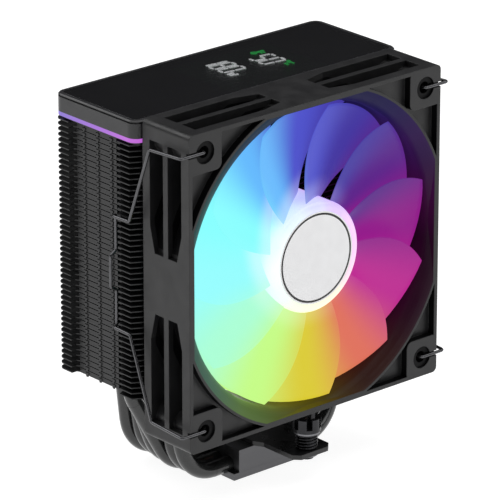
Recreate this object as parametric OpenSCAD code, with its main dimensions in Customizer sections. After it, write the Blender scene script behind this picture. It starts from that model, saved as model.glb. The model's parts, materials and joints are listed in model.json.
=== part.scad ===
/* [Tower] */
// How far the fin stack and the fan sit behind the middle of the base
tower_y = 4; // [0:0.5:6]
// Number of fins in the stack
fin_count = 47; // [30:1:47]
// Distance from one fin to the next
fin_pitch = 2.09; // [2.0:0.01:2.09]
// Thickness of a fin
fin_t = 0.4; // [0.3:0.05:0.6]
// Height of the lowest fin above the contact face
stack_z = 41.5; // [41:0.5:42]
// Width of the fin stack
fin_w = 125; // [122:0.5:125]
// Depth of the fin stack, front to back
fin_d = 45.7; // [44:0.1:46]

/* [Base] */
// Width of the cold plate
plate_w = 40.4; // [38:0.2:42]
// Depth of the cold plate
plate_d = 44; // [42:0.5:46]
// Thickness of the cold plate
plate_t = 2.6; // [2.4:0.1:3]
// Width of the block that clamps the pipes
block_w = 35.5; // [34:0.5:35.5]
// Height of the block's top above the contact face
block_top = 11.4; // [10.8:0.1:11.4]
// Height of the straight pipes' centre line above the contact face
pipe_z = 4.3; // [4.2:0.1:4.6]
// Outer radius of a heat pipe
pipe_r = 3; // [2.9:0.05:3]
// Distance between two pipes in the base
pipe_pitch = 6.4; // [6.3:0.1:6.6]

/* [Mounting bar] */
// Thickness of the mounting bar
bar_t = 1.8; // [1.5:0.1:2]
// Distance between the two spring nuts
nut_spacing = 78; // [76:0.5:79]
// How far a spring nut can be pressed down
nut_travel = 2.2; // [1.5:0.1:2.2]
// Radius of the hole threaded into a spring nut
thread_r = 1.5; // [1.3:0.1:1.6]

/* [Fan] */
// Width and height of the fan frame
fan_size = 120; // [119:0.5:120]
// Depth of the fan frame
fan_depth = 25; // [25:0.1:25.4]
// Height of the fan's axis above the contact face
fan_z = 88.5; // [88.5:0.1:89]
// Distance between two neighbouring corner holes
fan_hole_pitch = 105; // [104.5:0.5:105]
// Radius of a corner hole
fan_hole_r = 2.2; // [2.1:0.05:2.3]
// Radius of the duct round the blades
duct_r = 57.25; // [57:0.05:57.4]
// Radius of the blade tips
blade_r = 56.2; // [54:0.1:56.4]
// Number of blades
blade_count = 11; // [7:1:11]
// Radius of the spinning hub
hub_r = 21; // [21:0.1:21.4]
// Radius of the motor shaft
shaft_r = 1.5; // [1.4:0.05:1.5]

/* [Cover] */
// Width of the top cover
cover_w = 126; // [124:0.5:126]
// Depth of the top cover
cover_d = 45; // [44:0.5:45.4]
// Height of the top cover's lower edge above the contact face
cover_z = 141; // [141:0.1:141.5]
// Height of the top cover
cover_h = 6.7; // [6.5:0.1:7.5]

/* [Fan clips] */
// Radius of the clip wire
wire_r = 0.6; // [0.4:0.05:0.6]
// Distance from the middle of the cooler to a clip's long legs
clip_x = 63.5; // [63.5:0.1:64]

/* [Hidden] */
$fn = 64;

// Colours
BLACK = [0.13, 0.13, 0.14];
SOFT_BLACK = [0.2, 0.2, 0.21];
GREY = [0.34, 0.34, 0.35];
STEEL = [0.62, 0.62, 0.64];
COPPER = [0.72, 0.45, 0.3];
BOARD_GREEN = [0.05, 0.25, 0.13];
WHITE = [0.93, 0.93, 0.93];

// Clearances
fit = 0.05;         // between two pieces that are fixed together
running_fit = 0.04; // radial, between the shaft and its bearing
slip = 0.4;         // radial, round a piece that slides or turns freely
over = 1;           // how far a cut runs past the face it goes through

// Base
bar_z = block_top;
bar_top = bar_z + bar_t;
bar_end_y = nut_spacing / 2 + 4.6;
bar_half_w = 8.8;
bar_wide_half_w = 11;
bar_screw_x = 6.5;
bar_screw_r = 1.5;
bar_screw_head_r = 2.85;
bar_screw_head_h = 1.35;
bar_screw_y = 12;

// Heat pipes, from the rear one to the front one: how far from the middle the legs of each pipe
// stand in the fins, and how far out its lower corners are
LEG_X = [38, 38, 44.5, 50, 39, 42];
LEFT_FOOT_X = [37.5, 36, 34.5, 34.3, 37.5, 36.8];
RIGHT_FOOT_BEND_R = [14, 14, 14, 14, 14, 17];
right_foot_x = 29;
left_foot_bend_r = 13;
pipe_count = len(LEG_X);
knee_z = 35;
knee_bend_r = 14;
pipe_top = cover_z + 1;
function pipe_y(i) = ((pipe_count - 1) / 2 - i) * pipe_pitch;

// Fin stack
fin_front = -fin_d / 2;
fin_rear = fin_d / 2;
wall_x = fin_w / 2 - 2.8;
wall_front = -8.3;
wall_rear = 13.7;
flange_gap = 0.3;

// Cover
tray_z = cover_z - 2.6;
guide_z = cover_z - 1.5;
cover_top = cover_z + cover_h;
cover_corner_r = 4;
cover_wall = 2;
bevel = 0.5;
groove_h = 0.7;
groove_depth = 0.6;
window_t = 1;
window_inset = 1.9;
roof_t = 1.6;
screw_x = 56;
screw_y = 16.5;
cover_screw_r = 1;
cover_head_r = 2;
cover_head_z = cover_top - window_t - 1.2;
cover_boss_r = 2.6;
led_w = 3;
led_d = 1.2;
led_h = 1.1;
socket_x = 21;
socket_w = 9.8;
socket_h = 2.4;

// Display, whose board shows through an opening in the cover's roof
board_x = [-13, 33];
board_half_d = 17;
board_t = 1.1;
digits_t = 0.25;
digits_z = cover_top - window_t - 0.1;
digit_h = 10.5;
digit_w = 4.4;
digit_step = 5.1;
stroke = 0.8;
slant = 0.12;
POWER_AT = [-2, 19];
TEMPERATURE_AT = [15.2, 11.5];

// Fan, in its own frame: its front face at y = 0, and the axis through x = 0, z = 0
fan_front_y = tower_y + fin_front - 0.15 - fan_depth;
hole_x = fan_hole_pitch / 2;
frame_corner_r = 2;
mouth_r = 62.6;
mouth_half = 57.7;
lip_r = 63.5;
rim_half = fan_size / 2 - 1.5;
pocket_depth = 3;
pad_size = 15;
pad_corner_r = 2.5;
duct_wall = 2;
slot_near = 11.5;
slot_far = 53.4;
slot_inner_x = 25;
SLOT_YS = [[4.2, 11.5], [14, 21.2]];
slot_taper_y = 2.5;
slot_taper_z = 10;
motor_plate_y = fan_depth - 2.8;
motor_plate_r = 20.5;
strut_count = 5;
strut_turn = 18;
strut_z = [4, 8];
tube_r = 4.6;
bearing_r = 3.2;
tube_y = 6.8;
label_r = 14;
label_t = 0.4;

// Rotor, in the fan's frame
hub_front = 0.2;
hub_back = motor_plate_y - 0.8;
hub_shoulder_r = 2.4;
hub_inner_r = 19.2;
hub_face_t = 1.8;
badge_r = 17.4;
badge_t = 0.7;
yoke_y = hub_front + hub_face_t + 0.1;
yoke_r = hub_inner_r - fit;
yoke_t = 0.9;
yoke_back = 17.8;
magnet_t = 1.9;
shaft_end = 23.4;
ring_y = 21.7;
blade_front = 2.4;
blade_back = 16.8;
blade_twist = 55;
blade_lean = 16;
blade_root_t = 2.2;
blade_tip_t = 3.2;
blade_root_r = hub_r - 0.4;
stator_r = 15.6;
board_y = 19.6;
board_r = 17.5;

// Spring nuts
nut_y = nut_spacing / 2;
sleeve_r = 2.6;
nut_head_r = 5.25;
nut_head_z = bar_top + 7.1;
nut_head_h = 5.2;
nut_floor = 1.4;
nut_notch_w = 2.2;
washer_t = 0.7;
spring_r = 3.65;
spring_wire_r = 0.45;
spring_turns = 3.5;
nut_ring_t = 0.6;

// ---------- general shapes ----------

// Runs a flat shape, drawn in x and z, along y from y0 to y1
module along_y(y0, y1) translate([0, y1, 0]) rotate([90, 0, 0]) linear_extrude(y1 - y0) children();

// Runs a flat shape, drawn in y and z, along x from x0 to x1
module along_x(x0, x1) translate([x0, 0, 0]) rotate([90, 0, 90]) linear_extrude(x1 - x0) children();

// Turns a profile, drawn as radius and depth, round the y axis
module about_y() rotate([-90, 0, 0]) rotate_extrude() children();

module disc_y(r, y0, y1) translate([0, y0, 0]) rotate([-90, 0, 0]) cylinder(h = y1 - y0, r = r);

module disc_z(r, z0, z1) translate([0, 0, z0]) cylinder(h = z1 - z0, r = r);

module ring_y(r_out, r_in, y0, y1) difference() {
    disc_y(r_out, y0, y1);
    disc_y(r_in, y0 - over, y1 + over);
}

module rounded_rect(w, d, r) {
    square([w, d - 2 * r], center = true);
    square([w - 2 * r, d], center = true);
    for (sx = [-1, 1], sy = [-1, 1]) translate([sx * (w / 2 - r), sy * (d / 2 - r)]) circle(r);
}

module rounded_box(w, d, r, z0, z1) translate([0, 0, z0]) linear_extrude(z1 - z0) rounded_rect(w, d, r);

module box(x, y, z) translate([x[0], y[0], z[0]]) cube([x[1] - x[0], y[1] - y[0], z[1] - z[0]]);

function unit(v) = v / norm(v);

// Puts its children in a frame with the given x, y and z directions and origin
module in_frame(x, y, z, origin)
    multmatrix([for (k = [0:2]) [x[k], y[k], z[k], origin[k]]]) children();

module rod(a, b, r) {
    d = unit(b - a);
    translate(a) rotate([0, acos(d[2]), atan2(d[1], d[0])]) cylinder(h = norm(b - a), r = r);
}

// How much a bend of radius bend_r at b takes off the straight part on each side
function bend_trim(a, b, c, bend_r) = bend_r * tan(acos(unit(b - a) * unit(c - b)) / 2);

// One bend of a round rod, at the corner b of the line a, b, c. It is a hair thinner than the
// straight parts, and runs a little way into each of them
module bend(a, b, c, r, bend_r) {
    u = unit(b - a);
    v = unit(c - b);
    inward = unit(v - (u * v) * u);
    centre = b - u * bend_trim(a, b, c, bend_r) + inward * bend_r;
    lap = 1.5;
    in_frame(-inward, u, cross(-inward, u), centre) rotate(-lap)
        rotate_extrude(angle = acos(u * v) + 2 * lap) translate([bend_r, 0]) circle(r - min(0.05, r / 20));
}

// A round rod along a line of points, with one bend radius for each corner
module bent_rod(points, r, bend_radii) {
    last = len(points) - 1;
    trim = [for (i = [0:last]) i == 0 || i == last ? 0
        : bend_trim(points[i - 1], points[i], points[i + 1], bend_radii[i])];
    for (i = [0:last - 1]) {
        d = unit(points[i + 1] - points[i]);
        rod(points[i] + d * trim[i], points[i + 1] - d * trim[i + 1], r);
    }
    for (i = [1:last - 1]) bend(points[i - 1], points[i], points[i + 1], r, bend_radii[i]);
}

// ---------- base ----------

module pipe_slots(r, z_low) for (i = [0:pipe_count - 1]) translate([0, pipe_y(i), 0]) {
    translate([-fin_w / 2, 0, pipe_z]) rotate([0, 90, 0]) cylinder(h = fin_w, r = r);
    if (z_low < pipe_z) box([-fin_w / 2, fin_w / 2], [-r, r], [z_low, pipe_z]);
}

module cold_plate() color(STEEL) difference() {
    box([-plate_w / 2, plate_w / 2], [-plate_d / 2, plate_d / 2], [0, plate_t]);
    pipe_slots(pipe_r + fit, pipe_z);
}

module base_block() color(STEEL) difference() {
    box([-block_w / 2, block_w / 2], [-plate_d / 2, plate_d / 2], [plate_t, block_top]);
    pipe_slots(pipe_r + fit, plate_t - over);
    bar_screw_places() disc_z(bar_screw_r + fit, block_top - 3.2, block_top + over);
}

// A pipe whose legs lean back and out to a knee under the fins, further out on the right
module heat_pipe(i) color(BLACK) translate([0, pipe_y(i), 0]) {
    leg = LEG_X[i];
    left = [[-leg, tower_y, pipe_top], [-leg, tower_y, knee_z], [-LEFT_FOOT_X[i], 0, pipe_z]];
    right = [[right_foot_x, 0, pipe_z], [leg, tower_y, knee_z], [leg, tower_y, pipe_top]];
    bent_rod(concat(left, right), pipe_r,
        [0, knee_bend_r, left_foot_bend_r, RIGHT_FOOT_BEND_R[i], knee_bend_r, 0]);
}

module bar_screw_places() for (sx = [-1, 1], sy = [-1, 1])
    translate([sx * bar_screw_x, sy * bar_screw_y, 0]) children();

module bar_outline() {
    end_chamfer = 2.4;
    flare_y = 25.5;
    wide_y = 21.5;
    half = [[bar_wide_half_w, wide_y], [bar_half_w, flare_y], [bar_half_w, bar_end_y - end_chamfer],
        [bar_half_w - end_chamfer, bar_end_y]];
    polygon(concat(half, [for (k = [3:-1:0]) [-half[k][0], half[k][1]]],
        [for (k = [0:3]) [-half[k][0], -half[k][1]]], [for (k = [3:-1:0]) [half[k][0], -half[k][1]]]));
}

module mounting_bar() color(BLACK) difference() {
    translate([0, 0, bar_z]) linear_extrude(bar_t) bar_outline();
    for (sy = [-1, 1]) translate([0, sy * nut_y, 0]) disc_z(sleeve_r + slip, bar_z - over, bar_top + over);
    bar_screw_places() {
        disc_z(bar_screw_r + fit, bar_z - over, bar_top + over);
        translate([0, 0, bar_top - bar_screw_head_h - fit])
            cylinder(h = bar_screw_head_h + 0.15, r1 = bar_screw_r + fit, r2 = bar_screw_head_r + 0.2);
    }
}

module bar_screws() color(STEEL) bar_screw_places() difference() {
    union() {
        disc_z(bar_screw_r, block_top - 3, bar_top - 0.2);
        translate([0, 0, bar_top - bar_screw_head_h])
            cylinder(h = bar_screw_head_h, r1 = bar_screw_r, r2 = bar_screw_head_r);
    }
    for (a = [0, 90]) rotate(a) box([-1.5, 1.5], [-0.3, 0.3], [bar_top - 0.8, bar_top + over]);
}

// ---------- fin stack ----------

module fin_outline() difference() {
    corner_r = 3;
    half = [[fin_w / 2 - 7.7, fin_front], [fin_w / 2, fin_front + 4.2], [fin_w / 2, -12], [wall_x, -10.6],
        [wall_x, 13.8], [wall_x + 0.6, 15], [fin_w / 2, 15], [fin_w / 2, fin_rear - corner_r],
        [fin_w / 2 - corner_r, fin_rear]];
    union() {
        polygon(concat(half, [for (k = [len(half) - 1:-1:0]) [-half[k][0], half[k][1]]]));
        for (sx = [-1, 1]) translate([sx * (fin_w / 2 - corner_r), fin_rear - corner_r]) circle(corner_r);
    }
    for (sx = [-1, 1], i = [0:pipe_count - 1])
        translate([sx * LEG_X[i], pipe_y(i)]) circle(pipe_r + 2 * fit);
}

// A fin's folded edge on one side, which stops short of the next fin, or of the tray over the top one
module fin_flange(i) {
    room = min(fin_pitch, tray_z - stack_z - i * fin_pitch);
    box([wall_x - fin_t, wall_x], [wall_front, wall_rear], [0, room - flange_gap]);
}

module fin_stack() color(BLACK) translate([0, tower_y, stack_z]) for (i = [0:fin_count - 1])
    translate([0, 0, i * fin_pitch]) {
        linear_extrude(fin_t) fin_outline();
        fin_flange(i);
        mirror([1, 0, 0]) fin_flange(i);
    }

// ---------- cover ----------

module at_cover() translate([0, tower_y, 0]) children();

module cover_screw_places() for (sx = [-1, 1], sy = [-1, 1])
    translate([sx * screw_x, sy * screw_y, 0]) children();

module cover_tray() color(BLACK) at_cover() difference() {
    union() {
        rounded_box(cover_w - 3, cover_d - 2, cover_corner_r, tray_z, guide_z);
        cover_screw_places() disc_z(cover_boss_r, guide_z - 0.1, cover_z + 1.6);
    }
    for (sx = [-1, 1], i = [0:pipe_count - 1]) translate([sx * LEG_X[i], pipe_y(i), 0])
        disc_z(pipe_r + 2 * fit, tray_z - over, guide_z + over);
    cover_screw_places() disc_z(cover_screw_r + fit, guide_z, cover_z + 2);
}

module light_guide() color([0.6, 0.45, 0.95]) at_cover() difference() {
    rounded_box(cover_w, cover_d, cover_corner_r, guide_z, cover_z);
    rounded_box(cover_w - 6, cover_d - 6, cover_corner_r - 3, guide_z - over, cover_z + over);
}

// Small lights on the tray that shine into the light guide's inner edge
module light_leds() color(WHITE) at_cover() {
    inset = 4.2;
    for (sy = [-1, 1], x = [-47, -24, -12, 0, 12, 24, 47]) translate([x, sy * (cover_d / 2 - inset), 0])
        box([-led_w / 2, led_w / 2], [-led_d / 2, led_d / 2], [guide_z, guide_z + led_h]);
    for (sx = [-1, 1], k = [-1:1]) translate([sx * (cover_w / 2 - inset), k * 9, 0])
        box([-led_d / 2, led_d / 2], [-led_w / 2, led_w / 2], [guide_z, guide_z + led_h]);
}

// The top slice of the cover, with its upper edge cut back at 45 degrees
module bevelled_slice(w, d, r, z0, h) {
    x = w / 2 - r;
    y = d / 2 - r;
    function slope(half) = [[-half, z0], [half, z0], [half - h, z0 + h], [-half + h, z0 + h]];
    along_x(-x, x) polygon(slope(d / 2));
    along_y(-y, y) polygon(slope(w / 2));
    for (sx = [-1, 1], sy = [-1, 1]) translate([sx * x, sy * y, z0]) cylinder(h = h, r1 = r, r2 = r - h);
}

// A fine groove round the cover, under its bevelled edge
module cover_groove() {
    z = [cover_top - bevel - groove_h, cover_top - bevel];
    difference() {
        rounded_box(cover_w + over, cover_d + over, cover_corner_r, z[0], z[1]);
        rounded_box(cover_w - 2 * groove_depth, cover_d - 2 * groove_depth, cover_corner_r - groove_depth,
            z[0] - over, z[1] + over);
    }
}

module top_cover() color(SOFT_BLACK) at_cover() difference() {
    roof_z = cover_top - window_t - roof_t;
    union() {
        rounded_box(cover_w, cover_d, cover_corner_r, cover_z, cover_top - bevel);
        bevelled_slice(cover_w, cover_d, cover_corner_r, cover_top - bevel, bevel);
    }
    cover_groove();
    difference() {
        rounded_box(cover_w - 2 * cover_wall, cover_d - 2 * cover_wall, cover_corner_r - cover_wall,
            cover_z - over, roof_z);
        cover_screw_places() disc_z(cover_boss_r + 0.6, cover_z + 1.7, cover_top);
    }
    rounded_box(cover_w - 2 * window_inset, cover_d - 2 * window_inset, cover_corner_r - window_inset,
        cover_top - window_t, cover_top + over);
    box([board_x[0] - 1, board_x[1] + 1], [-board_half_d - 1, board_half_d + 1], [roof_z - over, cover_top]);
    cover_screw_places() {
        disc_z(cover_screw_r + fit, cover_z, cover_top);
        disc_z(cover_head_r + 0.2, cover_head_z, cover_top);
    }
    translate([socket_x, 0, cover_z]) box([-socket_w / 2 - 0.1, socket_w / 2 + 0.1],
        [cover_d / 2 - 3 * cover_wall, cover_d / 2 + over], [0.1, socket_h + 0.3]);
}

module cover_screws() color(STEEL) at_cover() cover_screw_places() difference() {
    union() {
        disc_z(cover_screw_r, guide_z + 0.3, cover_head_z + 0.1);
        disc_z(cover_head_r, cover_head_z, cover_head_z + 1);
    }
    for (a = [0, 90]) rotate(a) box([-1.3, 1.3], [-0.25, 0.25], [cover_head_z + 0.5, cover_head_z + 2]);
}

// Writing runs towards the front, with its top towards the right
module at_writing(x, y) translate([x, y, 0]) rotate(-90) children();

// A bar of a digit, as a flat shape that leans like the digit
module leaning_bar(u, v, w, h)
    polygon([for (p = [[u, v], [u + w, v], [u + w, v + h], [u, v + h]]) [p[0] + slant * p[1], p[1]]]);

// The lit bars of each digit: top, upper right, lower right, bottom, lower left, upper left, middle
LIT = [[1, 1, 1, 1, 1, 1, 0], [0, 1, 1, 0, 0, 0, 0], [1, 1, 0, 1, 1, 0, 1], [1, 1, 1, 1, 0, 0, 1],
    [0, 1, 1, 0, 0, 1, 1], [1, 0, 1, 1, 0, 1, 1], [1, 0, 1, 1, 1, 1, 1], [1, 1, 1, 0, 0, 0, 0],
    [1, 1, 1, 1, 1, 1, 1], [1, 1, 1, 1, 0, 1, 1]];

module digit(n) {
    gap = 0.35;
    half = digit_h / 2;
    tall = half - stroke / 2 - 2 * gap;
    wide = digit_w - 2 * stroke - 2 * gap;
    flat_u = stroke + gap;
    places = [[flat_u, digit_h - stroke, wide, stroke], [digit_w - stroke, half + gap, stroke, tall],
        [digit_w - stroke, stroke / 2 + gap, stroke, tall], [flat_u, 0, wide, stroke],
        [0, stroke / 2 + gap, stroke, tall], [0, half + gap, stroke, tall],
        [flat_u, half - stroke / 2, wide, stroke]];
    for (k = [0:6]) if (LIT[n][k] == 1) leaning_bar(places[k][0], places[k][1], places[k][2], places[k][3]);
}

module number(digits) for (k = [0:len(digits) - 1]) translate([k * digit_step, 0]) digit(digits[k]);

module w_mark() polygon([[0, 3.4], [0.7, 3.4], [1.1, 1.2], [1.5, 2.6], [2, 2.6], [2.4, 1.2], [2.8, 3.4],
    [3.5, 3.4], [2.8, 0], [2.1, 0], [1.75, 1.2], [1.4, 0], [0.7, 0]]);

module c_mark() {
    square([0.6, 3.4]);
    for (v = [0, 2.8]) translate([0.5, v]) square([1.6, 0.6]);
}

module display_digits() color(WHITE) translate([0, 0, digits_z - digits_t]) linear_extrude(digits_t) {
    at_writing(POWER_AT[0], POWER_AT[1]) {
        number([1, 8, 0]);
        translate([15.6, 0]) w_mark();
    }
    at_writing(TEMPERATURE_AT[0], TEMPERATURE_AT[1]) number([5, 0]);
}

// A degree sign and unit behind the temperature, and a small thermometer before it
module display_marks() color([0.2, 0.8, 0.35]) translate([0, 0, digits_z - digits_t]) linear_extrude(digits_t)
    at_writing(TEMPERATURE_AT[0], TEMPERATURE_AT[1]) {
        translate([13.2, 6.5]) c_mark();
        translate([12.2, 9.6]) difference() {
            circle(0.8);
            circle(0.4);
        }
        translate([-3, 6.2]) {
            circle(1.3);
            translate([-0.5, 0]) square([1, 4.6]);
            for (v = [2, 3.2]) translate([1, v]) square([1.2, 0.5]);
        }
    }

module display_board() color(BOARD_GREEN) at_cover() translate([0, 0, digits_z - digits_t - 0.1])
    box(board_x, [-board_half_d, board_half_d], [-board_t, 0]);

module display_window() color([0.05, 0.05, 0.06]) at_cover()
    rounded_box(cover_w - 2 * window_inset - 2 * fit, cover_d - 2 * window_inset - 2 * fit,
        cover_corner_r - window_inset, cover_top - window_t + 0.02, cover_top);

// The socket for the display's lead, in the rear wall of the cover
module display_socket() color(WHITE) at_cover() translate([socket_x, 0, cover_z + 0.2]) difference() {
    rear = cover_d / 2 - 0.2;
    wall = 0.6;
    box([-socket_w / 2, socket_w / 2], [rear - 5.5, rear], [0, socket_h]);
    box([wall - socket_w / 2, socket_w / 2 - wall], [rear - 4.7, rear + over], [wall, socket_h - wall]);
}

// ---------- fan ----------

module at_fan() translate([0, fan_front_y, fan_z]) children();

// Repeats a flat shape at the four corners of a square
module corners(half) for (sx = [-1, 1], sz = [-1, 1]) translate([sx * half, sz * half]) children();

// The duct with the bell at its front, which is cut off square at the four sides
module duct() intersection() {
    bell = mouth_r - duct_r;
    steps = 8;
    about_y() polygon(concat([[0, fan_depth + over], [0, -over], [mouth_r, -over]],
        [for (k = [0:steps]) let (a = 90 * k / steps) [mouth_r - bell * sin(a), bell * (1 - cos(a))]],
        [[duct_r, fan_depth + over]]));
    along_y(-over, fan_depth + over) square(2 * mouth_half, center = true);
}

// Shallow pockets in the front face, on both sides of each corner's screw pad
module front_pockets() along_y(-over, pocket_depth) difference() {
    square(2 * rim_half, center = true);
    circle(lip_r);
    corners((fan_size - pad_size) / 2) rounded_rect(pad_size, pad_size, pad_corner_r);
    corners(fan_size / 2 - pad_corner_r) square(2 * pad_corner_r, center = true);
}

// Repeats its children on the four sides, and in both halves of each side
module on_sides() for (a = [0:90:270], flip = [0, 1]) rotate([0, a, 0]) mirror([0, 0, flip]) children();

module slot_plan() difference() {
    for (a = [0:90:270], flip = [0, 1]) rotate(a) mirror([0, flip])
        translate([slot_inner_x, slot_near])
            square([fan_size / 2 - slot_inner_x + over, slot_far - slot_near]);
    circle(duct_r + duct_wall);
    corners(hole_x) circle(fan_hole_r + 3);
}

// What an opening loses at its end near the middle of the side, on the side towards -dir
module slot_wedge(y, dir) {
    z = slot_near;
    polygon([[y - dir * over, z - over], [y + dir * slot_taper_y, z - over], [y + dir * slot_taper_y, z],
        [y, z + slot_taper_z], [y - dir * over, z + slot_taper_z]]);
}

// The openings in the four sides, which taper towards the middle of each side
module side_openings() difference() {
    for (y = SLOT_YS) along_y(y[0], y[1]) slot_plan();
    on_sides() along_x(fan_size / 2 - 8, fan_size / 2 + 2 * over) {
        slot_wedge(SLOT_YS[0][0], 1);
        slot_wedge(SLOT_YS[1][1], -1);
    }
}

module frame_body() difference() {
    along_y(0, fan_depth) rounded_rect(fan_size, fan_size, frame_corner_r);
    duct();
    front_pockets();
    side_openings();
}

// The motor's plate and bearing tube, held by struts behind the blades
module motor_mount() {
    disc_y(motor_plate_r, motor_plate_y, fan_depth);
    disc_y(tube_r, tube_y, motor_plate_y + 0.1);
    for (k = [0:strut_count - 1]) rotate([0, strut_turn + k * 360 / strut_count, 0])
        box([motor_plate_r - 2, duct_r + 0.8], [motor_plate_y + 0.4, fan_depth - 0.2], strut_z);
}

module fan_frame() color(SOFT_BLACK) at_fan() difference() {
    union() {
        frame_body();
        motor_mount();
    }
    disc_y(bearing_r + fit, tube_y - over, fan_depth + over);
    disc_y(label_r + fit, fan_depth - label_t - 0.1, fan_depth + over);
    along_y(-over, fan_depth + over) corners(hole_x) circle(fan_hole_r);
    for (y = [[-over, 0.8], [fan_depth - 0.8, fan_depth + over]])
        along_y(y[0], y[1]) corners(hole_x) circle(fan_hole_r + 2);
    // the grooves for the ends of the clips
    for (sx = [-1, 1], sz = [-1, 1]) translate([sx * hole_x, 0, sz * hole_x])
        box(sx > 0 ? [0, 10] : [-10, 0], [-over, 1.3], [-1, 1]);
    // the notch that the fan's lead leaves through
    box([duct_r - 1, fan_size / 2 + over], [fan_depth - 2.4, fan_depth + over], [3.5, 8.5]);
}

module fan_bearing() color([0.7, 0.55, 0.3]) at_fan() ring_y(bearing_r, shaft_r + running_fit, 7, 21.5);

module stator_core() color(STEEL) at_fan() along_y(9, 17) difference() {
    circle(stator_r);
    circle(tube_r + fit);
    for (k = [0:5]) rotate(60 * k) {
        translate([10.2, 0]) circle(3.4);
        translate([10.2, -0.75]) square([stator_r, 1.5]);
    }
}

module stator_coils() color(COPPER) at_fan() for (k = [0:5]) rotate([0, 30 + 60 * k, 0]) difference() {
    box([7.5, 10.1], [7.4, 18.6], [-3.3, 3.3]);
    box([7, 11], [8.9, 17.1], [-2.1, 2.1]);
}

module motor_board() color(BOARD_GREEN) at_fan() ring_y(board_r, tube_r + fit, board_y, board_y + 1.2);

module board_leds() color(WHITE) at_fan() for (k = [0:7]) rotate([0, 45 * k, 0])
    box([14.4, 16], [board_y - 0.8, board_y], [-0.8, 0.8]);

module fan_label() color(STEEL) at_fan() disc_y(label_r, fan_depth - label_t - 0.05, fan_depth - 0.05);

// ---------- rotor ----------

// A blade's section square to the axis, which leans forward towards the tip
module blade_section() {
    steps = 6;
    function at(k, side) =
        let (s = k / steps, r = blade_root_r + s * (blade_r - blade_root_r),
            t = blade_root_t + s * (blade_tip_t - blade_root_t),
            a = blade_lean * s * s + side * t / 2 / r * 180 / PI) [r * cos(a), r * sin(a)];
    polygon(concat([for (k = [0:steps]) at(k, -1)], [for (k = [steps:-1:0]) at(k, 1)]));
}

module impeller() color([0.75, 0.85, 0.95]) at_fan() {
    about_y() difference() {
        union() {
            translate([0, hub_front]) square([hub_r - hub_shoulder_r, hub_back - hub_front]);
            translate([0, hub_front + hub_shoulder_r]) square([hub_r, hub_back - hub_front - hub_shoulder_r]);
            translate([hub_r - hub_shoulder_r, hub_front + hub_shoulder_r]) circle(hub_shoulder_r);
        }
        translate([0, hub_front + hub_face_t]) square([hub_inner_r, hub_back]);
        translate([0, hub_front - over]) square([badge_r + 2 * fit, badge_t + 0.1 + over]);
    }
    for (k = [0:blade_count - 1]) rotate([0, k * 360 / blade_count, 0]) translate([0, blade_front, 0])
        rotate([-90, 0, 0])
            linear_extrude(blade_back - blade_front, twist = blade_twist, slices = 7, segments = 1)
                blade_section();
}

module hub_badge() color(WHITE) at_fan() disc_y(badge_r, hub_front + 0.05, hub_front + 0.05 + badge_t);

module rotor_yoke() color(STEEL) at_fan() difference() {
    disc_y(yoke_r, yoke_y, yoke_back);
    ring_y(yoke_r - yoke_t, 3.4, yoke_y + 1, yoke_back + over);
    disc_y(3.5, yoke_y + 4, yoke_back + over);
    disc_y(shaft_r + fit, yoke_y - over, yoke_back);
}

module rotor_magnet() color([0.2, 0.2, 0.22]) at_fan()
    ring_y(yoke_r - yoke_t - fit, yoke_r - yoke_t - fit - magnet_t, 6.5, yoke_back - 0.4);

module rotor_shaft() color(STEEL) at_fan() difference() {
    disc_y(shaft_r, yoke_y - 0.05, shaft_end);
    ring_y(shaft_r + over, 1, ring_y - 0.05, ring_y + 0.45);
}

module shaft_ring() color(WHITE) at_fan() ring_y(2.5, 1 + fit, ring_y, ring_y + 0.4);

// ---------- fan clips ----------

// The right-hand clip: a wire hooked into the two corner holes, with long legs to the groove in
// the side of the fins, and a bump in the middle to pull it by
module clip() {
    front = fan_front_y + 0.1;
    groove = [wall_x + 1.6, tower_y - 9.5];
    grip_x = groove[0] + 2.6;
    upper = [[hole_x, front + 2.7, hole_x], [hole_x, front, hole_x], [clip_x, front, hole_x],
        [clip_x, tower_y - 30.9, hole_x - 1], [clip_x, tower_y - 19.5, 21.5], [clip_x, tower_y - 11, 21.2],
        [groove[0], groove[1], 21], [groove[0], groove[1], 7.6], [grip_x, groove[1], 6]];
    lower = [for (k = [len(upper) - 1:-1:0]) [upper[k][0], upper[k][1], -upper[k][2]]];
    points = concat(upper, lower);
    translate([0, 0, fan_z]) bent_rod(points, wire_r, [for (p = points) 1]);
}

module clip_left() color(GREY) mirror([1, 0, 0]) clip();

module clip_right() color(GREY) clip();

// ---------- spring nuts ----------

// A round wire swept along a list of points, as one closed mesh
module swept_wire(path, r, sides) {
    last = len(path) - 1;
    function ring(i) =
        let (t = unit(path[min(i + 1, last)] - path[max(i - 1, 0)]), n = unit(cross(t, [0, 0, 1])),
            b = cross(n, t))
        [for (k = [0:sides - 1]) let (a = 360 * k / sides) path[i] + r * (n * cos(a) + b * sin(a))];
    rings = [for (i = [0:last]) each ring(i)];
    walls = [for (i = [0:last - 1], k = [0:sides - 1]) let (m = (k + 1) % sides)
        [i * sides + k, i * sides + m, (i + 1) * sides + m, (i + 1) * sides + k]];
    polyhedron(points = rings, faces = concat(walls, [[for (k = [sides - 1:-1:0]) k]],
        [[for (k = [0:sides - 1]) last * sides + k]]));
}

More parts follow.
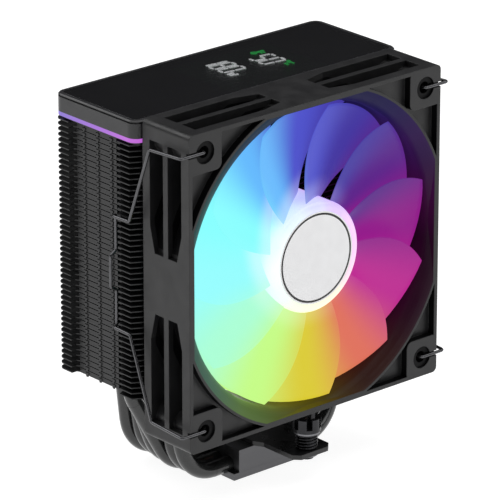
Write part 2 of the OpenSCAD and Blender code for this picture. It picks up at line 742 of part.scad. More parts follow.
// A coil spring between the bar and the washer, whose end turns lie flat
module nut_spring() {
    per_turn = 16;
    end_turns = 0.75;
    end_rise = spring_wire_r;
    low = bar_top + spring_wire_r + 0.02;
    high = nut_head_z - washer_t - 0.1 - spring_wire_r - 0.02;
    // height after so many turns: the end turns rise only a little
    function height(turn) = let (t = turn - end_turns) t < 0 ? low + turn / end_turns * end_rise
        : t > spring_turns ? high - (spring_turns + end_turns - t) / end_turns * end_rise
        : low + end_rise + t / spring_turns * (high - low - 2 * end_rise);
    path = [for (i = [0:per_turn * (spring_turns + 2 * end_turns)]) let (turn = i / per_turn)
        [spring_r * cos(360 * turn), spring_r * sin(360 * turn), height(turn)]];
    swept_wire(path, spring_wire_r, 6);
}

module nut_washer() difference() {
    disc_z(nut_head_r - 0.35, nut_head_z - washer_t - 0.1, nut_head_z - 0.1);
    disc_z(sleeve_r + slip, 0, nut_head_z + over);
}

// A nut with notches round its head, on a sleeve that goes down through the spring and the bar
module spring_nut() difference() {
    ring_z = bar_z - 0.1 - nut_ring_t;
    foot_z = bar_z - 2;
    union() {
        disc_z(sleeve_r, foot_z, nut_head_z + 0.1);
        disc_z(nut_head_r, nut_head_z, nut_head_z + nut_head_h);
    }
    disc_z(3.2, nut_head_z + nut_floor, nut_head_z + nut_head_h + over);
    for (a = [0:60:120]) rotate(a) translate([0, 0, nut_head_z + nut_floor])
        box([-nut_head_r - over, nut_head_r + over], [-nut_notch_w / 2, nut_notch_w / 2], [0, nut_head_h]);
    disc_z(thread_r, foot_z - over, nut_head_z - 0.5);
    difference() {
        disc_z(sleeve_r + over, ring_z - 0.05, ring_z + nut_ring_t + 0.05);
        disc_z(sleeve_r - 0.5, ring_z - over, ring_z + nut_ring_t + over);
    }
}

module nut_ring() difference() {
    ring_z = bar_z - 0.1 - nut_ring_t;
    disc_z(sleeve_r + 1.5, ring_z, ring_z + nut_ring_t);
    disc_z(sleeve_r - 0.5 + fit, ring_z - over, ring_z + nut_ring_t + over);
    box([-1.2, 1.2], [0, 2 * sleeve_r], [ring_z - over, ring_z + nut_ring_t + over]);
}

module at_front_nut() translate([0, -nut_y, 0]) children();

module at_rear_nut() translate([0, nut_y, 0]) children();

cold_plate();
base_block();
heat_pipe(0);  // heat_pipe_1
heat_pipe(1);  // heat_pipe_2
heat_pipe(2);  // heat_pipe_3
heat_pipe(3);  // heat_pipe_4
heat_pipe(4);  // heat_pipe_5
heat_pipe(5);  // heat_pipe_6
mounting_bar();
bar_screws();
fin_stack();
cover_tray();
light_guide();
light_leds();
top_cover();
cover_screws();
display_board();
display_digits();
display_marks();
display_window();
display_socket();
fan_frame();
fan_bearing();
stator_core();
stator_coils();
motor_board();
board_leds();
fan_label();
impeller();
hub_badge();
rotor_yoke();
rotor_magnet();
rotor_shaft();
shaft_ring();
clip_left();
clip_right();
color(STEEL) at_front_nut() nut_spring();  // front_spring
color(STEEL) at_rear_nut() nut_spring();  // rear_spring
color(STEEL) at_front_nut() nut_washer();  // front_washer
color(STEEL) at_rear_nut() nut_washer();  // rear_washer
color(GREY) at_front_nut() spring_nut();  // front_nut
color(GREY) at_rear_nut() spring_nut();  // rear_nut
color(STEEL) at_front_nut() nut_ring();  // front_nut_ring
color(STEEL) at_rear_nut() nut_ring();  // rear_nut_ring
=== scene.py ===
import bpy
import json
import math
from mathutils import Matrix, Vector


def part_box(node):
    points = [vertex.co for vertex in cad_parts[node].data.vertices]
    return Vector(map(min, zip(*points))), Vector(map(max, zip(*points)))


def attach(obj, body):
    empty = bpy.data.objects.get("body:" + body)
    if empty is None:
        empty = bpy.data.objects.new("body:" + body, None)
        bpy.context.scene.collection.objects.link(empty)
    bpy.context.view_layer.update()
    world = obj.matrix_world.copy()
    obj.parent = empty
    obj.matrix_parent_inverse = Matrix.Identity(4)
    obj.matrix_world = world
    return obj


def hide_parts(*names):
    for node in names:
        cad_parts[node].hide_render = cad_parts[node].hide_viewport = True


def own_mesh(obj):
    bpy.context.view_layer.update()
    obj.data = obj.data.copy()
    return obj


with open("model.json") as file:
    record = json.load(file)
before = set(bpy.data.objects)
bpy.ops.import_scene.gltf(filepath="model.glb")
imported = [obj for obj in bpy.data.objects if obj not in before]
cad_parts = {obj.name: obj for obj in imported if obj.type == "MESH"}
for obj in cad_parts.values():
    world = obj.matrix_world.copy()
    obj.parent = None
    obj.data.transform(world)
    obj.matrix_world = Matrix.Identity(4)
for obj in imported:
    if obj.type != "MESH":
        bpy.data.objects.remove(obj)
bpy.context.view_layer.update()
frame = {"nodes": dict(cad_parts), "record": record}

MM = 0.001
UM = 0.000001
NODES = frame["nodes"]
SCENE = bpy.context.scene


# ---------- places, worked out from the frame ----------

def centre_of(node):
    low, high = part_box(node)
    return (low + high) / 2


def half_width_of(node):
    low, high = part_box(node)
    return (high.x - low.x) / 2


FAN_CENTRE = centre_of("fan_frame")
FAN_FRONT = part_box("fan_frame")[0].y
TOWER_Y = centre_of("fin_stack").y
FINS_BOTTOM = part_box("fin_stack")[0].z
BLADE_TIP_R = half_width_of("impeller")
BADGE_R = half_width_of("hub_badge")
HUB_R = 21 * MM


# ---------- helpers for materials ----------

def srgb(red, green, blue):
    """A screen colour, 0 to 255, as linear light."""
    def linear(value):
        value /= 255
        return value / 12.92 if value <= 0.04045 else ((value + 0.055) / 1.055) ** 2.4
    return (linear(red), linear(green), linear(blue), 1.0)


def grey(value):
    return (value, value, value, 1.0)


def add(tree, kind, inputs=None, **settings):
    """A new shader node. An input is given a value, or another node's output to link."""
    made = tree.nodes.new(kind)
    for name, value in settings.items():
        setattr(made, name, value)
    for name, value in (inputs or {}).items():
        if isinstance(value, bpy.types.NodeSocket):
            tree.links.new(value, made.inputs[name])
        else:
            made.inputs[name].default_value = value
    return made


def math_node(tree, operation, *values):
    return add(tree, "ShaderNodeMath", dict(enumerate(values)), operation=operation).outputs[0]


def vector_node(tree, operation, *values):
    return add(tree, "ShaderNodeVectorMath", dict(enumerate(values)), operation=operation).outputs[0]


def product(tree, first, second):
    return math_node(tree, "MULTIPLY", first, second)


def below(tree, value, limit):
    """1 where the value is under the limit, else 0."""
    return math_node(tree, "LESS_THAN", value, limit)


def map_range(tree, value, start, end, low, high, curve="LINEAR"):
    """Values from start to end mapped to low and high, and held there outside them."""
    inputs = {"Value": value, "From Min": start, "From Max": end, "To Min": low, "To Max": high}
    return add(tree, "ShaderNodeMapRange", inputs, interpolation_type=curve).outputs["Result"]


def mix(tree, factor, first, second, blend="MIX"):
    """Two colours mixed. The node's colour sockets are its inputs 6 and 7 and its output 2."""
    inputs = {"Factor": factor, 6: first, 7: second}
    return add(tree, "ShaderNodeMix", inputs, data_type="RGBA", blend_type=blend).outputs[2]


def ramp(tree, factor, stops, interpolation="LINEAR"):
    made = add(tree, "ShaderNodeValToRGB", {"Fac": factor})
    made.color_ramp.interpolation = interpolation
    elements = made.color_ramp.elements
    while len(elements) < len(stops):
        elements.new(0.5)
    for element, (position, colour) in zip(elements, stops):
        element.position = position
        element.color = colour
    return made.outputs["Color"]


def grey_ramp(tree, factor, stops):
    return ramp(tree, factor, [(position, grey(value)) for position, value in stops])


def noise(tree, size_mm, detail=2.0, stretch=(1, 1, 1)):
    """Noise whose blobs are about size_mm across in the object's own space."""
    coords = add(tree, "ShaderNodeTexCoord").outputs["Object"]
    stretched = vector_node(tree, "MULTIPLY", coords, stretch)
    inputs = {"Vector": stretched, "Scale": 1000 / size_mm, "Detail": detail}
    return add(tree, "ShaderNodeTexNoise", inputs).outputs["Fac"]


def spread(tree, factor, low, high):
    """Noise from 0.3 to 0.7 mapped to low and high."""
    return map_range(tree, factor, 0.3, 0.7, low, high)


def tinted(tree, factor, colour, share):
    """The colour, made darker and lighter by share where factor is low and high."""
    dark = tuple(c * (1 - share) for c in colour[:3]) + (1,)
    light = tuple(min(c * (1 + share), 1) for c in colour[:3]) + (1,)
    return ramp(tree, factor, [(0.35, dark), (0.65, light)])


def grained(tree, grain_mm, grain_um, stretch=(1, 1, 1), edge_mm=0.0):
    """The normal of a fine grain, with edges softened where edge_mm is given."""
    inputs = {"Height": noise(tree, grain_mm, 2, stretch), "Strength": 1.0, "Distance": grain_um * UM}
    if edge_mm:
        inputs["Normal"] = add(tree, "ShaderNodeBevel", {"Radius": edge_mm * MM}, samples=4).outputs[0]
    return add(tree, "ShaderNodeBump", inputs).outputs[0]


def new_material(name):
    made = bpy.data.materials.new(name)
    made.use_nodes = True
    made.node_tree.nodes.clear()
    return made, made.node_tree


def principled(tree, inputs):
    """The material's one shader, wired to its output."""
    shader = add(tree, "ShaderNodeBsdfPrincipled", inputs)
    add(tree, "ShaderNodeOutputMaterial", {"Surface": shader.outputs[0]})
    return shader


def surface(name, colour, rough, rough_change=0.08, mottle=0.12, mottle_mm=6, grain_mm=0.35, grain_um=8,
            edge_mm=0.0, stretch=(1, 1, 1), **constants):
    """A surface with mottled colour, uneven roughness, a fine grain and softened edges."""
    made, tree = new_material(name)
    patches = noise(tree, mottle_mm, 3, stretch)
    shader = principled(tree, {
        "Base Color": tinted(tree, patches, colour, mottle),
        "Roughness": spread(tree, patches, rough - rough_change, rough + rough_change),
        "Normal": grained(tree, grain_mm, grain_um, stretch, edge_mm)})
    for socket, value in constants.items():
        shader.inputs[socket.replace("_", " ")].default_value = value
    return made


# ---------- the glow round the fan ----------

# The colours of the blades and of the hub's side at each twelfth of a turn, from the left, up and over
BLADE_COLOURS = [
    (150, 254, 255), (136, 254, 254), (102, 186, 252), (80, 84, 202), (68, 56, 160), (92, 38, 138),
    (146, 26, 138), (190, 40, 146), (224, 112, 90), (220, 204, 48), (198, 253, 134), (172, 255, 214)]
HUB_COLOURS = [
    (236, 254, 255), (226, 250, 255), (214, 232, 255), (202, 204, 252), (206, 176, 250), (232, 188, 250),
    (240, 190, 236), (250, 206, 226), (255, 236, 206), (252, 254, 208), (232, 255, 214), (226, 255, 240)]


def offset_from(tree, origin):
    """How far the shaded point is from a fixed one along X, Y and Z."""
    place = add(tree, "ShaderNodeNewGeometry").outputs["Position"]
    offset = vector_node(tree, "SUBTRACT", place, origin)
    return add(tree, "ShaderNodeSeparateXYZ", {"Vector": offset}).outputs


def polar(tree):
    """Distance from the fan's axis, and the angle round it as 0 to 1 from the left, up and over."""
    offset = offset_from(tree, FAN_CENTRE)
    x, z = offset["X"], offset["Z"]
    square = math_node(tree, "ADD", product(tree, x, x), product(tree, z, z))
    angle = math_node(tree, "ARCTAN2", z, product(tree, x, -1.0))
    turns = math_node(tree, "ADD", math_node(tree, "DIVIDE", angle, 2 * math.pi), 1.0)
    return math_node(tree, "SQRT", square), math_node(tree, "FRACT", turns)


def depth_in_fan(tree):
    """How far a point lies behind the fan's front face."""
    return math_node(tree, "SUBTRACT", offset_from(tree, FAN_CENTRE)["Y"], FAN_FRONT - FAN_CENTRE.y)


def round_ramp(tree, turn, colours):
    """Colours spaced evenly round a full turn, the first one again at its end."""
    count = len(colours)
    stops = [(k / count, srgb(*colours[k % count])) for k in range(count + 1)]
    return ramp(tree, turn, stops, "EASE")


# ---------- materials ----------

def frame_plastic():
    """Satin plastic with painted shade, near-black and less shiny, in its front recesses and its duct. The
    duct also glows with painted light from the blades.
    """
    made = surface("satin_frame_plastic", srgb(28, 28, 29), 0.42, grain_mm=0.25, grain_um=6, edge_mm=0.35)
    tree = made.node_tree
    offset = offset_from(tree, FAN_CENTRE)
    radius, turn = polar(tree)
    depth = depth_in_fan(tree)
    # how far a point is from the fan's axis, sideways or up, whichever is more
    reach = math_node(tree, "MAXIMUM", math_node(tree, "ABSOLUTE", offset["X"]),
                      math_node(tree, "ABSOLUTE", offset["Z"]))
    duct_outer_r, duct_inner_r = 62.5 * MM, 59.0 * MM
    duct_reach, recess_reach = 57.8 * MM, 58.6 * MM
    mouth_depth, recess_middle, recess_half_depth = 1.6 * MM, 1.6 * MM, 1.3 * MM
    # painted shade: the duct and the walls of the front recesses are marked to be painted near-black, with
    # duller reflection
    duct = product(tree, below(tree, radius, duct_outer_r), below(tree, reach, duct_reach))
    recess = product(tree, below(tree, reach, recess_reach),
                     math_node(tree, "COMPARE", depth, recess_middle, recess_half_depth))
    dark = math_node(tree, "MAXIMUM", duct, recess)
    # painted light: only the duct's mouth and its inner face glow with the blades' light, not its outer wall
    mouth = product(tree, duct, below(tree, depth, mouth_depth))
    inner_face = product(tree, duct, below(tree, radius, duct_inner_r))
    painted_glow_mask = math_node(tree, "MAXIMUM", mouth, inner_face)
    # the painted glow of the blades' light is strongest low on the left, and a little violet shows at the
    # top
    share = grey_ramp(tree, turn, [(0.0, 0.06), (0.25, 0.05), (0.4, 0.24), (0.52, 0.03), (0.68, 0.03),
                                   (0.85, 0.15), (1.0, 0.06)])
    glow = mix(tree, 1.0, round_ramp(tree, turn, BLADE_COLOURS), share, "MULTIPLY")
    shader = next(node for node in tree.nodes if node.type == "BSDF_PRINCIPLED")
    plain = shader.inputs["Base Color"].links[0].from_socket
    # painted shade: near-black colour and weaker reflection where the duct and the recess walls lie in shade
    tree.links.new(mix(tree, dark, plain, srgb(10, 10, 11)), shader.inputs["Base Color"])
    tree.links.new(map_range(tree, dark, 0.0, 1.0, 0.42, 0.1), shader.inputs["Specular IOR Level"])
    tree.links.new(glow, shader.inputs["Emission Color"])
    tree.links.new(painted_glow_mask, shader.inputs["Emission Strength"])
    return made


def cover_plastic():
    return surface("satin_cover_plastic", srgb(36, 36, 38), 0.36, grain_mm=0.2, grain_um=3, edge_mm=0.08)


def fin_coating():
    return surface("black_fin_coating", srgb(38, 38, 39), 0.38, mottle=0.2, grain_mm=0.4, grain_um=5,
                   Metallic=0.35)


def pipe_coating():
    return surface("black_pipe_coating", srgb(26, 27, 27), 0.26, mottle=0.15, mottle_mm=9, grain_mm=1.2,
                   grain_um=7, Coat_Weight=0.4, Coat_Roughness=0.12)


def bar_coating():
    return surface("black_bar_coating", srgb(24, 24, 25), 0.32, grain_mm=0.3, grain_um=5, edge_mm=0.3)


def milled_metal():
    return surface("milled_base_metal", srgb(96, 96, 98), 0.36, mottle=0.08, grain_mm=0.5, grain_um=6,
                   stretch=(0.06, 1, 1), edge_mm=0.15, Metallic=0.9)


def screw_steel():
    return surface("bright_steel", srgb(118, 118, 121), 0.28, grain_mm=0.2, grain_um=3, Metallic=1.0)


def spring_steel():
    return surface("spring_steel", srgb(52, 52, 54), 0.25, mottle_mm=2, grain_mm=0.3, grain_um=4,
                   Metallic=1.0)


def clip_steel():
    return surface("dark_clip_wire", srgb(88, 88, 90), 0.24, mottle_mm=3, grain_mm=0.3, grain_um=4,
                   Metallic=0.9)


def nut_coating():
    return surface("black_nickel_nut", srgb(52, 52, 54), 0.27, mottle_mm=3, grain_mm=0.25, grain_um=4,
                   edge_mm=0.2, Metallic=0.85)


def circuit_board():
    """Solder mask with paler tracks between the cells of a Voronoi pattern."""
    made, tree = new_material("solder_mask")
    coords = add(tree, "ShaderNodeTexCoord").outputs["Object"]
    cells = add(tree, "ShaderNodeTexVoronoi", {"Vector": coords, "Scale": 500.0}, feature="DISTANCE_TO_EDGE")
    stops = [(0.05, srgb(20, 96, 52)), (0.12, srgb(8, 58, 32))]
    principled(tree, {
        "Base Color": ramp(tree, cells.outputs["Distance"], stops),
        "Roughness": spread(tree, noise(tree, 3), 0.22, 0.4)})
    return made


def coil_copper():
    return surface("enamelled_copper", srgb(190, 96, 48), 0.3, mottle_mm=1, grain_mm=0.4, grain_um=60,
                   stretch=(1, 0.1, 1), Metallic=0.9)


def bearing_brass():
    return surface("sintered_brass", srgb(170, 134, 74), 0.45, mottle_mm=1, grain_mm=0.2, grain_um=12,
                   Metallic=0.9)


def magnet():
    return surface("bonded_ferrite", srgb(44, 44, 46), 0.6, mottle_mm=1, grain_mm=0.15, grain_um=12)


def label_foil():
    return surface("blank_foil_label", srgb(176, 176, 178), 0.35, mottle_mm=4, grain_mm=0.3, grain_um=4,
                   Metallic=0.5)


def socket_plastic():
    return surface("ivory_socket_plastic", srgb(220, 218, 208), 0.45, mottle=0.05, grain_um=5)


def led_gel():
    return surface("led_gel", srgb(240, 238, 220), 0.2, mottle=0.06, mottle_mm=1, Coat_Weight=0.6)


def smoked_window():
    return surface("smoked_window", srgb(16, 16, 18), 0.2, rough_change=0.03, mottle=0.1, mottle_mm=25,
                   grain_mm=0.6, grain_um=1.0, edge_mm=0.2, Alpha=0.68)


def lit_plastic(name, colour, strength):
    """A lit mark, with slightly uneven colour and glow."""
    made, tree = new_material(name)
    patches = noise(tree, 1.5, 2)
    principled(tree, {
        "Base Color": tinted(tree, patches, colour, 0.1),
        "Roughness": spread(tree, patches, 0.3, 0.45),
        "Emission Color": tinted(tree, patches, colour, 0.08),
        "Emission Strength": strength})
    return made


def printed_badge():
    """Satin badge with one thin printed ring near its edge. It glows faintly in its own colours, painted
    light.
    """
    made, tree = new_material("printed_badge")
    ring_r, ring_w = BADGE_R - 1.0 * MM, 0.8 * MM
    off = math_node(tree, "ABSOLUTE", math_node(tree, "SUBTRACT", polar(tree)[0], ring_r))
    ink = below(tree, off, ring_w / 2)
    patches = noise(tree, 5, 3)
    colour = mix(tree, ink, tinted(tree, patches, srgb(222, 222, 223), 0.02), srgb(12, 12, 13))
    principled(tree, {
        "Base Color": colour,
        "Roughness": spread(tree, patches, 0.34, 0.46),
        "Normal": grained(tree, 0.2, 3),
        "Emission Color": colour,
        "Emission Strength": 0.18})
    return made


def blade_glow():
    # painted light: the blades glow with the hub's light, painted on them as emission
    made, tree = new_material("lit_blade_plastic")
    radius, turn = polar(tree)
    streaks = noise(tree, 3, 3)
    light_reach = 10 * MM
    near_hub = map_range(tree, radius, HUB_R, HUB_R + light_reach, 0.5, 0.0, "SMOOTHERSTEP")
    # the light from the hub reaches over the blades on the left, above and below, not on the right
    facing = grey_ramp(tree, turn, [(0.0, 1.0), (0.2, 0.9), (0.34, 0.3), (0.44, 0.0), (0.62, 0.05),
                                    (0.8, 0.5), (1.0, 1.0)])
    own, from_hub = round_ramp(tree, turn, BLADE_COLOURS), round_ramp(tree, turn, HUB_COLOURS)
    principled(tree, {
        "Base Color": tinted(tree, streaks, (0.01, 0.01, 0.012, 1), 0.2),
        "Roughness": spread(tree, streaks, 0.42, 0.55),
        "Specular IOR Level": 0.12,
        "Normal": grained(tree, 0.4, 4),
        "Emission Color": mix(tree, product(tree, near_hub, facing), own, from_hub),
        "Emission Strength": 0.98})
    return made


def hub_glow():
    made, tree = new_material("lit_hub_plastic")
    turn = polar(tree)[1]
    streaks = noise(tree, 4, 3)
    deep = map_range(tree, depth_in_fan(tree), 1.0 * MM, 9.0 * MM, 0.0, 0.8, "SMOOTHSTEP")
    # painted light: on the left and below, the hub's side takes on the colour of the blades' light further
    # back
    facing = grey_ramp(tree, turn, [(0.0, 1.0), (0.12, 0.9), (0.2, 0.35), (0.3, 0.0), (0.7, 0.0),
                                    (0.85, 0.8), (1.0, 1.0)])
    own, from_blades = round_ramp(tree, turn, HUB_COLOURS), round_ramp(tree, turn, BLADE_COLOURS)
    principled(tree, {
        "Base Color": tinted(tree, streaks, (0.2, 0.2, 0.21, 1), 0.1),
        "Roughness": spread(tree, streaks, 0.28, 0.4),
        "Emission Color": mix(tree, product(tree, deep, facing), own, from_blades),
        "Emission Strength": 0.96})
    return made


def light_strip():
    """Frosted strip whose colour runs from magenta at the front left to blue at the back right."""
    made, tree = new_material("lit_frosted_strip")
    low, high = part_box("light_guide")
    offset = offset_from(tree, low)
    run = math_node(tree, "ADD", math_node(tree, "DIVIDE", offset["Y"], (high.y - low.y) * 1.6),
                    math_node(tree, "DIVIDE", offset["X"], (high.x - low.x) * 2.7))
    stops = [(0.0, srgb(214, 104, 236)), (0.25, srgb(180, 106, 232)), (0.6, srgb(138, 118, 226)),
             (0.8, srgb(96, 132, 236)), (1.0, srgb(90, 200, 240))]
    patches = noise(tree, 2, 2)
    principled(tree, {
        "Base Color": tinted(tree, patches, (0.05, 0.04, 0.07, 1), 0.1),
        "Roughness": spread(tree, patches, 0.4, 0.55),
        "Emission Color": ramp(tree, run, stops),
        "Emission Strength": 0.74})
    return made


SLOT_MATERIALS = {
    "base_metal": milled_metal(),
    "pipe_black": pipe_coating(),
    "bar_black": bar_coating(),
    "screw_steel": screw_steel(),
    "fin_black": fin_coating(),
    "cover_plastic": cover_plastic(),
    "light_strip": light_strip(),
    "led_white": led_gel(),
    "circuit_board": circuit_board(),
    "digit_white": lit_plastic("lit_digit_white", srgb(240, 242, 244), 3.2),
    "mark_green": lit_plastic("lit_mark_green", srgb(40, 200, 90), 2.6),
    "display_glass": smoked_window(),
    "socket_plastic": socket_plastic(),
    "frame_plastic": frame_plastic(),
    "bearing_brass": bearing_brass(),
    "coil_copper": coil_copper(),
    "label_silver": label_foil(),
    "blade_glow": blade_glow(),
    "badge_white": printed_badge(),
    "magnet_dark": magnet(),
    "clip_steel": clip_steel(),
    "spring_steel": spring_steel(),
    "nut_black": nut_coating(),
}


def dress(piece, slot):
    piece.data.materials.clear()
    piece.data.materials.append(SLOT_MATERIALS[slot])


for part in frame["record"]["subparts"]:
    dress(NODES[part["node"]], part["material_slot"])


# ---------- helpers for meshes ----------

def mesh_piece(name, points, faces, body, slot, smooth=True):
    """A new piece, in metres in the CAD's frame, that rides on a body."""
    mesh = bpy.data.meshes.new(name)
    mesh.from_pydata([tuple(p) for p in points], [], faces)
    mesh.validate()
    piece = bpy.data.objects.new(name, mesh)
    SCENE.collection.objects.link(piece)
    for polygon in mesh.polygons:
        polygon.use_smooth = smooth
    dress(piece, slot)
    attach(piece, body)
    return piece


def tube(path, radius, sides):
    """Points and faces of a round wire along a path, with closed ends."""
    points, faces = [], []
    last = len(path) - 1
    across = None
    for i, here in enumerate(path):
        along = (path[min(i + 1, last)] - path[max(i - 1, 0)]).normalized()
        across = along.orthogonal() if across is None else across - along * along.dot(across)
        across.normalize()
        other = along.cross(across)
        for k in range(sides):
            angle = 2 * math.pi * k / sides
            points.append(here + radius * (across * math.cos(angle) + other * math.sin(angle)))
    for i in range(last):
        ring, next_ring = i * sides, (i + 1) * sides
        for k in range(sides):
            after = (k + 1) % sides
            faces.append([ring + k, ring + after, next_ring + after, next_ring + k])
    faces.append(list(reversed(range(sides))))
    faces.append([last * sides + k for k in range(sides)])
    return points, faces


# ---------- fan blades and hub ----------

FAN_AXIS = Vector((FAN_CENTRE.x, 0, FAN_CENTRE.z))
BLADE_COUNT = 11
# How far behind the fan's front face a blade's front and back edges lie
BLADE_FRONT, BLADE_BACK = 2.4 * MM, 16.8 * MM
# Degrees that a blade turns from its front edge to its back edge, and from its root to its tip
BLADE_TWIST, BLADE_LEAN = 55, 16
ROOT_HALF_T, TIP_HALF_T = 1.25 * MM, 0.9 * MM
# Share of the thickness that is left at a blade's front and back edges
EDGE_SHARE = 0.25
# How far a blade's root bulges out of its even twist, as a share of the twist
ROOT_BULGE = 0.08
BLADE_STEPS = 22
CHORD_STEPS = 18
HUB_STEPS = 128


def blade_point(index, s, c, side):
    """A point of a blade: s runs from root to tip, c from front to back, side is -1 or 1."""
    root_r = HUB_R - 0.5 * MM
    radius = root_r + s * (BLADE_TIP_R - root_r)
    depth = FAN_FRONT + BLADE_FRONT + c * (BLADE_BACK - BLADE_FRONT)
    bulge = ROOT_BULGE * math.sin(math.pi * c) * (1 - s)
    sweep = BLADE_LEAN * s * s + BLADE_TWIST * (c + bulge)
    rounded = math.sqrt(max(0.0, 1 - (2 * c - 1) ** 4))
    half_t = (ROOT_HALF_T + s * (TIP_HALF_T - ROOT_HALF_T)) * (EDGE_SHARE + (1 - EDGE_SHARE) * rounded)
    turn = math.radians(sweep) + side * half_t / radius + 2 * math.pi * index / BLADE_COUNT
    return Vector((radius * math.cos(turn), depth, -radius * math.sin(turn)))


def blade_mesh(index, start):
    """Points and faces of one blade. Its points are numbered from start."""
    points, faces = [], []
    chord = [j / CHORD_STEPS for j in range(CHORD_STEPS + 1)]
    ring = 2 * len(chord)
    for i in range(BLADE_STEPS + 1):
        s = i / BLADE_STEPS
        points += [FAN_AXIS + blade_point(index, s, c, 1) for c in chord]
        points += [FAN_AXIS + blade_point(index, s, c, -1) for c in reversed(chord)]
    for i in range(BLADE_STEPS):
        here, further = start + i * ring, start + (i + 1) * ring
        for k in range(ring):
            after = (k + 1) % ring
            faces.append([here + k, further + k, further + after, here + after])
    for end, flip in ((start, False), (start + BLADE_STEPS * ring, True)):
        for j in range(CHORD_STEPS):
            quad = [end + j, end + j + 1, end + ring - 2 - j, end + ring - 1 - j]
            faces.append(quad[::-1] if flip else quad)
    return points, faces


def hub_profile():
    """The cup's closed outline as radius and depth, with a rounded shoulder and a recess for the badge."""
    front, back = 0.2 * MM, 21.4 * MM
    shoulder_r, inner_r, face_t = 2.4 * MM, 19.2 * MM, 1.8 * MM
    recess_r, recess_floor = BADGE_R + 0.1 * MM, front + 0.8 * MM
    centre_r = 0.5 * MM
    # small chamfers at the recess's floor and rim, and at the cup's back edge
    floor_cut, rim_cut, outer_cut, inner_cut = 0.05 * MM, 0.15 * MM, 0.3 * MM, 0.2 * MM
    recess = [(centre_r, recess_floor), (recess_r - floor_cut, recess_floor),
              (recess_r, recess_floor - floor_cut), (recess_r, front + rim_cut), (recess_r + rim_cut, front)]
    shoulder = []
    for degrees in range(0, 91, 9):
        inward = shoulder_r * (1 - math.sin(math.radians(degrees)))
        behind = shoulder_r * (1 - math.cos(math.radians(degrees)))
        shoulder.append((HUB_R - inward, front + behind))
    back_edge = [(HUB_R, back - outer_cut), (HUB_R - outer_cut, back), (inner_r + inner_cut, back),
                 (inner_r, back - inner_cut)]
    inside = [(inner_r, front + face_t), (centre_r, front + face_t)]
    return recess + shoulder + back_edge + inside


def hub_mesh(start):
    """Points and faces of the cup, its profile turned about the fan's axis."""
    points, faces = [], []
    profile = hub_profile()
    count = len(profile)
    for k in range(HUB_STEPS):
        angle = 2 * math.pi * k / HUB_STEPS
        across, up = math.cos(angle), math.sin(angle)
        points += [FAN_AXIS + Vector((r * across, FAN_FRONT + depth, r * up)) for r, depth in profile]
    for k in range(HUB_STEPS):
        here, after = start + k * count, start + (k + 1) % HUB_STEPS * count
        for i in range(count):
            j = (i + 1) % count
            faces.append([here + i, after + i, after + j, here + j])
    return points, faces


def impeller_piece():
    """Swept blades with rounded edges, and the cup that they stand on, as one moulding."""
    points, faces = [], []
    for index in range(BLADE_COUNT):
        blade_points, blade_faces = blade_mesh(index, len(points))
        points += blade_points
        faces += blade_faces
    first_hub_face = len(faces)
    hub_points, hub_faces = hub_mesh(len(points))
    piece = mesh_piece("impeller_moulding", points + hub_points, faces + hub_faces, "rotor", "blade_glow")
    piece.data.materials.append(hub_glow())
    for polygon in piece.data.polygons[first_hub_face:]:
        polygon.material_index = 1
    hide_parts("impeller")


impeller_piece()


# ---------- spring coils ----------

SPRING_WIRE_R = 0.45 * MM
SPRING_SIDES = 14
# Open turns, and the closed turns at each end that lie flat
OPEN_TURNS, END_TURNS = 3.5, 0.75
POINTS_PER_TURN = 40


def spring_path(centre, coil_r, low_z, high_z):
    """The line that the wire follows. It rises one wire radius in each end's closed turns."""
    total = OPEN_TURNS + 2 * END_TURNS
    floor, top = low_z + SPRING_WIRE_R, high_z - SPRING_WIRE_R
    end_rise = SPRING_WIRE_R
    path = []
    for i in range(int(total * POINTS_PER_TURN) + 1):
        t = i / POINTS_PER_TURN
        if t < END_TURNS:
            z = floor + t / END_TURNS * end_rise
        elif t > OPEN_TURNS + END_TURNS:
            z = top - (total - t) / END_TURNS * end_rise
        else:
            z = floor + end_rise + (t - END_TURNS) / OPEN_TURNS * (top - floor - 2 * end_rise)
        angle = 2 * math.pi * t
        path.append(Vector((centre.x + coil_r * math.cos(angle), centre.y + coil_r * math.sin(angle), z)))
    return path


def spring_piece(side):
    """A smooth coil in place of the plain one."""
    node, joint = side + "_spring", side + "_nut_press"
    low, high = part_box(node)
    centre = (low + high) / 2
    path = spring_path(centre, half_width_of(node) - SPRING_WIRE_R, low.z, high.z)
    points, faces = tube(path, SPRING_WIRE_R, SPRING_SIDES)
    piece = mesh_piece(side + "_spring_coil", points, faces, "cooler", "spring_steel")
    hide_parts(node)
    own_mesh(piece)


spring_piece("front")
spring_piece("rear")


# ---------- hooked tabs on the fins' folded edges ----------

FIN_COUNT, FIN_PITCH = 47, 2.09 * MM
# How far the folded edges that carry the tabs lie from the middle
FIN_WALL_X = 59.7 * MM
# How deep a tab starts inside the wall, and how far it stands proud of it
TAB_SUNK, TAB_PROUD = 0.1 * MM, 0.32 * MM
# The tabs' columns along Y, in millimetres from the tower's middle
TAB_COLUMNS = (-5.5, 2.0, 9.5)
# A tab's outline along Y and Z, in millimetres from its column and the bottom of its fin
TAB_OUTLINE = [(-0.95, 1.25), (-0.95, 0.35), (-0.5, 0.1), (-0.5, -0.55),
               (0.5, -0.55), (0.5, 0.1), (0.95, 0.35), (0.95, 1.25)]
TAB_MIDDLE_Z = 0.35
# Size of a tab's outer face, as a share of its inner face
TAB_TAPER = 0.86


def tab_mesh(side, column, fin_z, start):
    """Points and faces of one tab with sloping sides. Its points are numbered from start."""
    points = []
    for depth, size in ((-TAB_SUNK, 1.0), (TAB_PROUD, TAB_TAPER)):
        for y, z in TAB_OUTLINE:
            points.append((side * (FIN_WALL_X + depth), TOWER_Y + (column + y * size) * MM,
                           fin_z + (TAB_MIDDLE_Z + (z - TAB_MIDDLE_Z) * size) * MM))
    count = len(TAB_OUTLINE)
    inner = [start + k for k in range(count)]
    outer = [start + count + k for k in range(count)]
    faces = [outer, inner[::-1]]
    for k in range(count):
        after = (k + 1) % count
        faces.append([inner[k], inner[after], outer[after], outer[k]])
    return points, faces if side < 0 else [face[::-1] for face in faces]


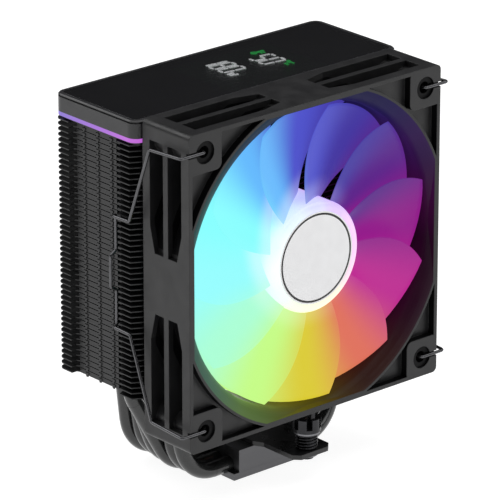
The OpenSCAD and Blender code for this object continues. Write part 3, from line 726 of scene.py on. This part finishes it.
def fin_tabs_piece():
    """Three columns of small tabs on each side, each hooked over the edge of the fin below."""
    points, faces = [], []
    for side in (-1, 1):
        for column in TAB_COLUMNS:
            for i in range(FIN_COUNT):
                tab_points, tab_faces = tab_mesh(side, column, FINS_BOTTOM + i * FIN_PITCH, len(points))
                points += tab_points
                faces += tab_faces
    mesh_piece("fin_edge_tabs", points, faces, "cooler", "fin_black", smooth=False)


fin_tabs_piece()


# ---------- floor, light and camera ----------

def floor_piece():
    """A pale floor that mostly glows by itself, so that it stays white with hardly any shadow."""
    half = 14.0
    corners = [(-half, -half, 0), (half, -half, 0), (half, half, 0), (-half, half, 0)]
    mesh = bpy.data.meshes.new("floor")
    mesh.from_pydata(corners, [], [(0, 1, 2, 3)])
    piece = bpy.data.objects.new("floor", mesh)
    SCENE.collection.objects.link(piece)
    made, tree = new_material("pale_floor")
    principled(tree, {
        "Base Color": tinted(tree, noise(tree, 400), grey(0.3), 0.01), "Roughness": 0.9,
        "Specular IOR Level": 0.0, "Emission Color": grey(1.0), "Emission Strength": 0.92})
    mesh.materials.append(made)


def softbox(name, place, width, height, power):
    """A rectangular light that faces the middle of the cooler."""
    light = bpy.data.lights.new(name, "AREA")
    light.shape = "RECTANGLE"
    light.size, light.size_y, light.energy = width, height, power
    lamp = bpy.data.objects.new(name, light)
    lamp.location = place
    lamp.rotation_euler = (Vector((0, 0, 0.09)) - Vector(place)).to_track_quat("-Z", "Y").to_euler()
    SCENE.collection.objects.link(lamp)


def studio():
    world = bpy.data.worlds.new("studio")
    world.use_nodes = True
    background = world.node_tree.nodes["Background"]
    background.inputs["Color"].default_value = (0.06, 0.06, 0.063, 1)
    background.inputs["Strength"].default_value = 1.0
    SCENE.world = world
    softbox("overhead", (0.0, 0.0, 2.4), 3.0, 3.0, 46)
    softbox("rear_left_softbox", (-0.8, 1.55, 1.45), 1.4, 1.4, 16)
    softbox("front_right_softbox", (1.4, -0.8, 1.65), 1.4, 1.4, 10)
    softbox("left_softbox", (-2.2, 0.5, 0.9), 1.2, 1.6, 3)
    softbox("front_softbox", (0.4, -2.4, 1.0), 1.2, 1.2, 8)


def camera():
    """A long lens, placed from the middle of the fan: far in front, to its left and above it."""
    azimuth, elevation = math.radians(-41.28), math.radians(20.89)
    distance, aside, lower = 1.6578, 15.68 * MM, 0.46 * MM
    data = bpy.data.cameras.new("camera")
    data.sensor_width = 36.0
    data.lens = 331.6
    data.clip_start, data.clip_end = 0.05, 60.0
    eye = bpy.data.objects.new("camera", data)
    back = Vector((math.sin(azimuth) * math.cos(elevation), -math.cos(azimuth) * math.cos(elevation),
                   math.sin(elevation)))
    right = Vector((math.cos(azimuth), math.sin(azimuth), 0))
    up = back.cross(right)
    place = FAN_CENTRE + distance * back - aside * right - lower * up
    eye.matrix_world = Matrix.Translation(place) @ Matrix((right, up, back)).transposed().to_4x4()
    SCENE.collection.objects.link(eye)
    SCENE.camera = eye


floor_piece()
studio()
camera()
SCENE.view_settings.view_transform = "Standard"
